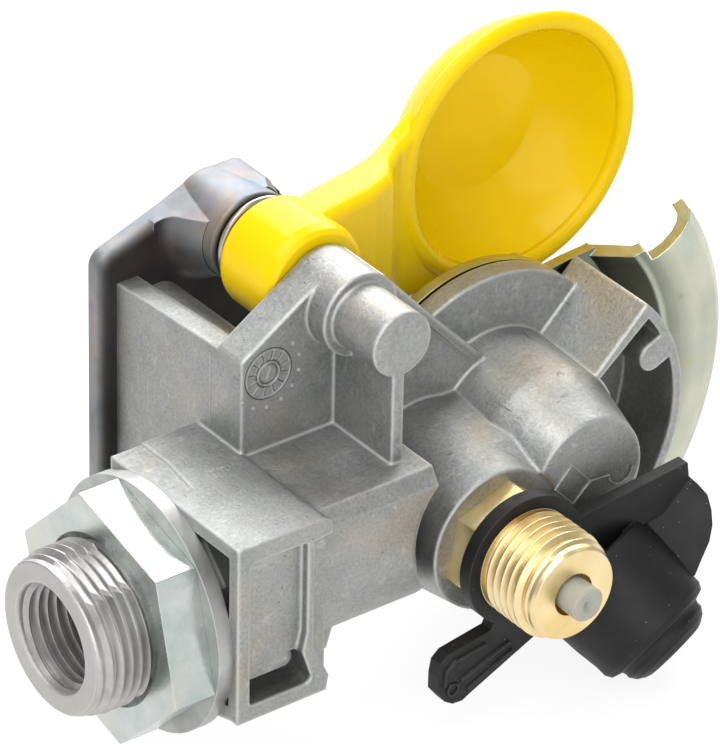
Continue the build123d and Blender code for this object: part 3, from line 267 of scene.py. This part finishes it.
def turned_metal(name, dark, light, roughness, edge_radius, grain=(1, 1, 1), tint=None):
    """Turned or drawn metal. roughness is a pair, low and high; grain stretches its fine bump."""
    m = Maker(name, Metallic=1.0)
    m.soft_edges(edge_radius)
    base = m.tinted(dark, light, m.noise(150, 4, 0.6), 0.35, 0.65)
    if tint:
        base = m.tinted(base, tint, m.noise(60, 2, 0.5, seed=4), 0.45, 0.70, 0.7)
    # Painted highlight: a near-white tint along the rounded edges.
    m.color(m.edge_highlights(base, (0.92, 0.92, 0.90), 0.5))
    m.rough(m.noise(300, 3, 0.6, seed=2), *roughness)
    m.bump((m.noise(1400, 3, 0.6, stretch=grain, seed=6), 0.03, 0.5))
    return m.material


def stop_sheet():
    """Steel tinted in blue, brown and violet, with painted highlights on its edges, and near-black
    where it faces the front: painted shade with some dark heat tint.
    """
    m = Maker("stop_sheet", Metallic=1.0)
    m.soft_edges(0.3)
    base = m.tinted((0.20, 0.21, 0.22), (0.35, 0.35, 0.35), m.noise(70, 4, 0.6), 0.36, 0.62)
    base = m.tinted(base, (0.21, 0.26, 0.35), m.noise(85, 3, 0.55, seed=3), 0.48, 0.66, 0.6)
    base = m.tinted(base, (0.38, 0.26, 0.17), m.noise(120, 3, 0.55, seed=7), 0.52, 0.68, 0.6)
    base = m.tinted(base, (0.29, 0.21, 0.29), m.noise(95, 3, 0.55, seed=12), 0.56, 0.70, 0.6)
    # Painted highlight along the rounded edges.
    base = m.edge_highlights(base, (0.50, 0.50, 0.50), 0.5)
    # Painted shade with some dark heat tint: near-black on the faces toward the front.
    m.color(m.mix(m.times(m.facing(FRONT), 0.8), base, (0.030, 0.026, 0.024)))
    m.rough(m.noise(220, 3, 0.6, seed=2), 0.50, 0.66)
    m.bump((m.noise(900, 3, 0.6), 0.05, 0.4))
    return m.material


def claw_sheet():
    """Yellow zinc with green and gold patches, with painted shade in its hollow and a painted
    highlight on the crease.
    """
    m = Maker("claw_sheet", Metallic=1.0)
    m.soft_edges(0.3)
    base = m.tinted((0.46, 0.47, 0.38), (0.60, 0.60, 0.49), m.noise(60, 4, 0.6), 0.36, 0.64)
    base = m.tinted(base, (0.42, 0.50, 0.45), m.noise(140, 3, 0.55, seed=3), 0.50, 0.68, 0.6)
    base = m.tinted(base, (0.60, 0.50, 0.27), m.noise(120, 3, 0.55, seed=9), 0.56, 0.70, 0.5)
    blots = m.times(m.specks(260, 0.12, 0.3), m.span(m.noise(90, 2, 0.5, seed=21), 0.48, 0.6))
    base = m.mix(m.times(blots, 0.5), base, (0.36, 0.34, 0.20))
    reach = m.from_axis(CLAW_X, CLAW_Z)
    # Painted shade: dark in the hollow, on faces toward the front.
    hollow = m.times(m.span(reach, HOLLOW_OUT_R, HOLLOW_IN_R), m.facing(FRONT))
    base = m.mix(m.times(hollow, 0.92), base, (0.13, 0.15, 0.115))
    # Painted highlight: a light line along the crease.
    inside = m.span(reach, CREASE_R - 0.3, CREASE_R)
    outside = m.span(reach, CREASE_R + 0.7, CREASE_R + 0.2)
    m.color(m.mix(m.times(m.times(inside, outside), 0.6), base, (0.66, 0.70, 0.58)))
    m.rough(m.noise(220, 3, 0.6, seed=2), 0.26, 0.42)
    m.bump((m.noise(700, 3, 0.6), 0.05, 0.35))
    return m.material


def yellow_plastic():
    """Glossy moulded plastic with a few dark specks."""
    m = Maker("yellow_plastic", Specular_IOR_Level=0.12, Coat_Weight=0.10, Coat_Roughness=0.12)
    m.soft_edges(0.5)
    base = m.tinted((0.80, 0.54, 0.0), (0.86, 0.60, 0.001), m.noise(40, 3, 0.5), 0.35, 0.65)
    m.color(m.mix(m.times(m.specks(300, 0.03), 0.4), base, (0.55, 0.36, 0.01)))
    m.rough(m.noise(260, 3, 0.6, seed=2), 0.24, 0.33)
    m.bump((m.noise(420, 2, 0.5), 0.05, 0.15))
    return m.material


def rubber(name, gloss=0.0):
    """Black rubber with specks of dust. gloss is taken off its roughness."""
    m = Maker(name, Specular_IOR_Level=0.35)
    m.soft_edges(0.35)
    dark, light = (0.004, 0.004, 0.004), (0.010, 0.010, 0.010)
    base = m.tinted(dark, light, m.noise(90, 4, 0.6), 0.35, 0.65)
    dust = m.times(m.specks(800, 0.05), m.span(m.noise(240, 2, 0.5, seed=31), 0.44, 0.54))
    base = m.mix(m.times(dust, 0.7), base, (0.36, 0.36, 0.36))
    # Painted highlight: lighter grey along the rounded edges.
    m.color(m.edge_highlights(base, (0.075, 0.075, 0.078), 0.35))
    m.rough(m.noise(300, 3, 0.6, seed=2), 0.46 - gloss, 0.62 - gloss)
    m.bump((m.noise(1500, 3, 0.6), 0.04, 0.4))
    return m.material


def nylon():
    m = Maker("nylon", Subsurface_Weight=0.5, Subsurface_Scale=0.002)
    m.soft_edges(0.3)
    m.color(m.tinted((0.31, 0.32, 0.27), (0.38, 0.39, 0.33), m.noise(180, 3, 0.5), 0.35, 0.65))
    m.rough(m.noise(400, 2, 0.5), 0.36, 0.46)
    m.bump((m.noise(900, 2, 0.5), 0.03, 0.3))
    return m.material


def filter_bed():
    m = Maker("filter_bed")
    m.color(m.mix(m.specks(1300, 0.3), (0.42, 0.38, 0.30), (0.78, 0.74, 0.64)))
    m.rough(m.noise(800, 2, 0.5), 0.6, 0.8)
    m.bump((m.specks(1300, 0.4), 0.3, 0.8))
    return m.material


def floor_paper():
    m = Maker("floor_paper", Emission_Color=(1, 1, 1, 1), Emission_Strength=0.88)
    m.color(m.tinted((0.13, 0.13, 0.13), (0.15, 0.15, 0.15), m.noise(3, 2, 0.5), 0.3, 0.7))
    m.rough(m.noise(4, 2, 0.5), 0.85, 0.95)
    return m.material


CAST = cast_metal()
ZINC = turned_metal(
    "zinc_nut", (0.45, 0.50, 0.49), (0.58, 0.62, 0.60), (0.20, 0.34), 0.18,
    tint=(0.62, 0.60, 0.50),
)
WASHER = turned_metal("washer_steel", (0.38, 0.38, 0.375), (0.52, 0.53, 0.52), (0.40, 0.55), 0.2)
BRIGHT = turned_metal("bright_steel", (0.52, 0.52, 0.52), (0.70, 0.70, 0.70), (0.26, 0.40), 0.2)
WIRE = turned_metal("wire_steel", (0.38, 0.34, 0.31), (0.55, 0.50, 0.46), (0.28, 0.40), 0.05)
BRASS = turned_metal(
    "brass", (0.78, 0.58, 0.25), (0.92, 0.74, 0.42), (0.28, 0.42), 0.2,
    grain=(1, 4, 1), tint=(0.80, 0.72, 0.50),
)
STUD_METAL = turned_metal(
    "stud_thread", (0.38, 0.37, 0.355), (0.56, 0.55, 0.53), (0.34, 0.48), 0.06,
    grain=(5, 1, 1),
)
# Near-black painted shadow for the lines beside the mould mark's beads.
MARK_SHADOW = turned_metal("mark_shadow_paint", (0.07, 0.07, 0.07), (0.15, 0.15, 0.145), (0.50, 0.65), 0.05)
SHEET = stop_sheet()
CLAW = claw_sheet()
YELLOW = yellow_plastic()
CAP_RUBBER = rubber("cap_rubber")
STRAP_RUBBER = rubber("strap_rubber", 0.18)
SEAL_RUBBER = rubber("seal_rubber", 0.15)
NYLON = nylon()
FILTER = filter_bed()

LOOKS = {
    "body_casting": CAST,
    "lock_nut": ZINC,
    "flat_washer": WASHER,
    "stop_plate": SHEET,
    "stop_plate_screws": BRIGHT,
    "lid": YELLOW,
    "lid_pin": BRIGHT,
    "pin_retaining_ring": WIRE,
    "lid_spring": WIRE,
    "claw_plate": CLAW,
    "claw_plate_screws": BRIGHT,
    "palm_seal": SEAL_RUBBER,
    "seal_retaining_ring": BRIGHT,
    "snap_ring": WIRE,
    "filter_top_ring": BRASS,
    "filter_o_ring": SEAL_RUBBER,
    "filter_element": FILTER,
    "filter_spring_seat": BRIGHT,
    "filter_spring": WIRE,
    "test_fitting": BRASS,
    "test_fitting_seal": SEAL_RUBBER,
    "test_valve_core": NYLON,
    "test_valve_seal": SEAL_RUBBER,
    "test_valve_retainer": BRASS,
    "test_valve_spring": WIRE,
    "rubber_cap": CAP_RUBBER,
}
for name, look in LOOKS.items():
    slots = frame["nodes"][name].data.materials
    slots.clear()
    slots.append(look)


# Small shapes that the solids leave out, drawn in mm, with turns in degrees
SINK = 0.08  # how far a bead or a dot reaches into the face that carries it
BEAD_TOP = 0.22  # half a bead's flat top, as a share of its width
DOT_SIDES = 12


def piece(name, draw, material, body="body"):
    """Makes one piece with a function that draws it into an empty mesh."""
    mesh = bmesh.new()
    draw(mesh)
    bmesh.ops.recalc_face_normals(mesh, faces=mesh.faces)
    data = bpy.data.meshes.new(name)
    mesh.to_mesh(data)
    mesh.free()
    data.materials.append(material)
    made = bpy.data.objects.new(name, data)
    bpy.context.scene.collection.objects.link(made)
    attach(made, body)


def skin(mesh, rings, closed=False):
    """Faces from ring to ring, and over both ends of a run that isn't closed."""
    if closed:
        rings = rings + rings[:1]
    else:
        mesh.faces.new(list(reversed(rings[0])))
        mesh.faces.new(rings[-1])
    for a, b in zip(rings, rings[1:]):
        for j in range(len(a)):
            k = (j + 1) % len(a)
            mesh.faces.new((a[j], a[k], b[k], b[j]))


def ridge(mesh, points, normal, bead, closed=False):
    """Raised bead on a flat face, along points that lie on it. A bead is a width and a height."""
    width, height = bead
    section = (
        (-0.5, -SINK), (-0.5, 0.0), (-BEAD_TOP, height),
        (BEAD_TOP, height), (0.5, 0.0), (0.5, -SINK),
    )
    normal = Vector(normal)
    points = [Vector(point) for point in points]
    last = len(points) - 1
    rings = []
    for i, spot in enumerate(points):
        before = points[i - 1] if i or closed else spot
        after = points[(i + 1) % (last + 1)] if i < last or closed else spot
        across = (after - before).normalized().cross(normal)
        rings.append([
            mesh.verts.new((spot + across * reach * width + normal * lift) * MM)
            for reach, lift in section
        ])
    skin(mesh, rings, closed)


def dome(mesh, spot, normal, radius, height):
    """Low round dot on a flat face."""
    normal = Vector(normal)
    across = normal.orthogonal().normalized()
    other = normal.cross(across)
    turns = [2 * math.pi * i / DOT_SIDES for i in range(DOT_SIDES)]
    rings = []
    for share, lift in ((1.0, -SINK), (1.0, 0.0), (0.75, 0.66 * height), (0.35, height)):
        outs = [(across * math.cos(t) + other * math.sin(t)) * radius * share for t in turns]
        rings.append([mesh.verts.new((Vector(spot) + out + normal * lift) * MM) for out in outs])
    skin(mesh, rings)


def on_circle(centre, radius, degrees):
    """Point on a circle round a line along Y."""
    x, y, z = centre
    turn = math.radians(degrees)
    return (x + radius * math.cos(turn), y, z + radius * math.sin(turn))


def circle(centre, radius, start=0.0, end=360.0, count=48):
    """Points on a circle or an arc; a full circle leaves out its last point."""
    steps = count if end - start >= 360.0 else count - 1
    return [on_circle(centre, radius, start + (end - start) * i / steps) for i in range(count)]


def at_y(y, *spots):
    """Points on a face square to Y, each given by its x and z."""
    return [(x, y, z) for x, z in spots]


# Round mould mark on the cross wall's front, painted shadow lines beside its beads, and the dots
# beside it
MARK_X, WALL_FACE_Y, MARK_Z = 18.95, 0.0, 29.2
MARK = (MARK_X, WALL_FACE_Y, MARK_Z)
MARK_R, HUB_R, RIM_INSET = 3.9, 1.75, 0.25
RIM_BEAD, HUB_BEAD, SPOKE_BEAD, BAR_BEAD = (0.26, 0.16), (0.36, 0.24), (0.24, 0.12), (0.4, 0.16)
SPOKES, SPOKE_FROM, SPOKE_GAP = 12, 15, 0.3
BAR_HALF_X, BAR_HALF_Z = 0.4, 0.9
# Painted shadow lines beside the mark's rim, hub and spokes: their bead, offset, first spoke turn
# and gaps.
MARK_SHADOW_BEAD, MARK_SHADOW_OFFSET = (0.2, 0.03), 0.28
MARK_SHADOW_FROM, MARK_SHADOW_IN_GAP, MARK_SHADOW_OUT_GAP = 18, 0.4, 0.5
DOTS, DOTS_R, DOTS_FROM, DOTS_TO = 8, 5.3, -144.0, 39.0
DOT_R, DOT_HEIGHT = 0.34, 0.22


def spokes(mesh, first, inner, outer, bead):
    for i in range(SPOKES):
        turn = first + 360 * i / SPOKES
        ridge(mesh, (on_circle(MARK, inner, turn), on_circle(MARK, outer, turn)), FRONT, bead)


def mark_beads(mesh):
    """Rim, hub, the spokes between them and a bar across the hub."""
    ridge(mesh, circle(MARK, MARK_R - RIM_INSET), FRONT, RIM_BEAD, closed=True)
    ridge(mesh, circle(MARK, HUB_R), FRONT, HUB_BEAD, closed=True)
    spokes(mesh, SPOKE_FROM, HUB_R + SPOKE_GAP, MARK_R - RIM_INSET, SPOKE_BEAD)
    foot = (MARK_X - BAR_HALF_X, MARK_Z - BAR_HALF_Z)
    head = (MARK_X + BAR_HALF_X, MARK_Z + BAR_HALF_Z)
    ridge(mesh, at_y(WALL_FACE_Y, foot, head), FRONT, BAR_BEAD)


def mark_shadows(mesh):
    """Painted shadow: dark lines beside the rim, the hub and the spokes."""
    for radius in (MARK_R, HUB_R + MARK_SHADOW_OFFSET, HUB_R - MARK_SHADOW_OFFSET):
        ridge(mesh, circle(MARK, radius), FRONT, MARK_SHADOW_BEAD, closed=True)
    spokes(mesh, MARK_SHADOW_FROM, HUB_R + MARK_SHADOW_IN_GAP, MARK_R - MARK_SHADOW_OUT_GAP, MARK_SHADOW_BEAD)


def mark_dots(mesh):
    for spot in circle(MARK, DOTS_R, DOTS_FROM, DOTS_TO, DOTS):
        dome(mesh, spot, FRONT, DOT_R, DOT_HEIGHT)


# Lozenge frame on the filter housing's end, with the parting line and the loop beside it
HOUSING_END_Y = -16.0
LOZENGE = at_y(HOUSING_END_Y, (59.5, 7.8), (62.9, 3.9), (60.0, 1.2), (56.7, 4.8))
PARTING_LINE = at_y(HOUSING_END_Y, (62.9, 3.9), (66.4, 3.6))
LOOP = circle((68.4, HOUSING_END_Y, 3.7), 2.1, -165.0, 0.0, 14)
LOZENGE_BEAD, PARTING_BEAD, LOOP_BEAD = (0.36, 0.22), (0.26, 0.16), (0.3, 0.18)


def end_frame(mesh):
    ridge(mesh, LOZENGE, FRONT, LOZENGE_BEAD, closed=True)
    ridge(mesh, PARTING_LINE, FRONT, PARTING_BEAD)
    ridge(mesh, LOOP, FRONT, LOOP_BEAD)


# Upright witness line on the side wall's broad outer face
LINE_X, LINE_Y, LINE_FOOT_Z, LINE_HEAD_Z = 14.5, 7.2, 19.2, 30.6
LINE_BEAD = (0.32, 0.07)


def wall_line(mesh):
    ends = ((LINE_X, LINE_Y, LINE_FOOT_Z), (LINE_X, LINE_Y, LINE_HEAD_Z))
    ridge(mesh, ends, (-1, 0, 0), LINE_BEAD)


# Raised edges on the cap's pull tab, which run out of the strap's band to a dimple
TAB_Y = -22.0
TAB_EDGES = (
    at_y(TAB_Y, (40.4, -11.2), (35.2, -12.0), (33.6, -13.4), (33.4, -15.6)),
    at_y(TAB_Y, (44.6, -12.4), (36.2, -15.6)),
    at_y(TAB_Y, (45.2, -14.0), (37.4, -17.6)),
)
DIMPLE = circle((34.9, TAB_Y, -16.6), 0.9, count=20)
TAB_BEAD, DIMPLE_BEAD = (0.7, 0.35), (0.5, 0.3)


def tab_ribs(mesh):
    for edge in TAB_EDGES:
        ridge(mesh, edge, FRONT, TAB_BEAD)
    ridge(mesh, DIMPLE, FRONT, DIMPLE_BEAD, closed=True)


# Threads, each on the wall that its mount gives
PITCH = 1.5
STEPS = 72  # in one turn
FOOT, FLANK, LAND = 0.47, 0.44, 0.07  # half the ridge's widths, in pitches
THREAD_SINK = 0.06  # how far the ridge's foot reaches into its wall
LEAST_RISE = 0.04  # the share of its height that it keeps at its ends
WORN_COSINE, WORN_BLEND, WORN_SHARE = 0.93, 0.03, 0.62
TEST_X = MOUNTS["test_connection"]["pos_m"][0] / MM


def thread(mesh, mount, origin, along, ends, crest, fades, worn=None):
    """Helical ridge round an axis, from one end of it to the other.

    fades gives how far the ridge takes to rise and to sink. worn is a direction round
    the axis where the crests are worn down along a band.
    """
    root = MOUNTS[mount]["dims"]["r_mm"]
    foot = root - THREAD_SINK if crest > root else root + THREAD_SINK
    axis = Vector(along)
    across = axis.orthogonal().normalized()
    other = axis.cross(across)
    start, end = ends
    rings = []
    for i in range(int(STEPS * (end - start) / PITCH) + 1):
        turn = 2 * math.pi * i / STEPS
        middle = start + PITCH * i / STEPS
        done, left = (middle - start) / fades[0], (end - middle) / fades[1]
        rise = min(1.0, max(LEAST_RISE, done), max(LEAST_RISE, left))
        out = across * math.cos(turn) + other * math.sin(turn)
        if worn:
            near = (out.dot(Vector(worn).normalized()) - WORN_COSINE) / WORN_BLEND
            rise *= 1.0 - WORN_SHARE * min(1.0, max(0.0, near))
        tip = root + (crest - root) * rise
        section = (
            (-FOOT, foot), (-FLANK, root), (-LAND, tip), (LAND, tip), (FLANK, root), (FOOT, foot),
        )
        ring = []
        for shift, radius in section:
            spot = min(max(middle + shift * PITCH, start), end)
            ring.append(mesh.verts.new((Vector(origin) + axis * spot + out * radius) * MM))
        rings.append(ring)
    skin(mesh, rings)


def stud_thread(mesh):
    thread(
        mesh, "panel_stud", (0, 0, 0), (1, 0, 0),
        ends=(-16.9, -8.6), crest=12.0, fades=(3.2, 0.1), worn=(0, -0.3, 1),
    )


def port_thread(mesh):
    thread(
        mesh, "hose_port", (0, 0, 0), (1, 0, 0),
        ends=(-16.7, -3.2), crest=7.19, fades=(1.6, 1.0),
    )


def test_thread(mesh):
    thread(
        mesh, "test_connection", (TEST_X, 0, 0), FRONT,
        ends=(22.0, 31.2), crest=8.0, fades=(0.8, 1.6),
    )


piece("round_mould_mark", mark_beads, CAST)
# Painted shadow beside the mould mark's beads.
piece("mould_mark_shadows", mark_shadows, MARK_SHADOW)
piece("mould_dots", mark_dots, CAST)
piece("housing_end_mark", end_frame, CAST)
piece("wall_witness_line", wall_line, CAST)
piece("tab_ribs", tab_ribs, STRAP_RUBBER)
piece("stud_thread", stud_thread, STUD_METAL)
piece("port_thread", port_thread, STUD_METAL)
piece("test_thread", test_thread, BRASS)


# Floor and light, in metres and watts
FLOOR_HALF = 6.0
AIM = (0.043, 0.0, 0.01)
WORLD_LIGHT = 0.45


def floor():
    low = min(corner[2] for corner in CAD_BOX)
    half = FLOOR_HALF
    corners = [(-half, -half, low), (half, -half, low), (half, half, low), (-half, half, low)]
    data = bpy.data.meshes.new("floor")
    data.from_pydata(corners, [], [(0, 1, 2, 3)])
    data.materials.append(floor_paper())
    made = bpy.data.objects.new("floor", data)
    bpy.context.scene.collection.objects.link(made)


def lamp(name, at, size, power):
    data = bpy.data.lights.new(name, "AREA")
    data.shape = "RECTANGLE"
    data.size, data.size_y = size
    data.energy = power
    made = bpy.data.objects.new(name, data)
    bpy.context.scene.collection.objects.link(made)
    made.location = at
    made.rotation_euler = (Vector(AIM) - Vector(at)).to_track_quat("-Z", "Y").to_euler()


floor()
lamp("back", (0.50, 0.62, 0.55), (1.0, 0.8), 13.0)
lamp("key", (-0.30, 0.0, 0.85), (0.7, 0.7), 5.8)
lamp("fill", (-0.35, -0.75, 0.42), (0.9, 0.9), 5.0)
world = bpy.data.worlds.new("studio")
bpy.context.scene.world = world
world.use_nodes = True
world.node_tree.nodes["Background"].inputs["Color"].default_value = (1, 1, 1, 1)
world.node_tree.nodes["Background"].inputs["Strength"].default_value = WORLD_LIGHT
bpy.context.scene.view_settings.view_transform = "Standard"
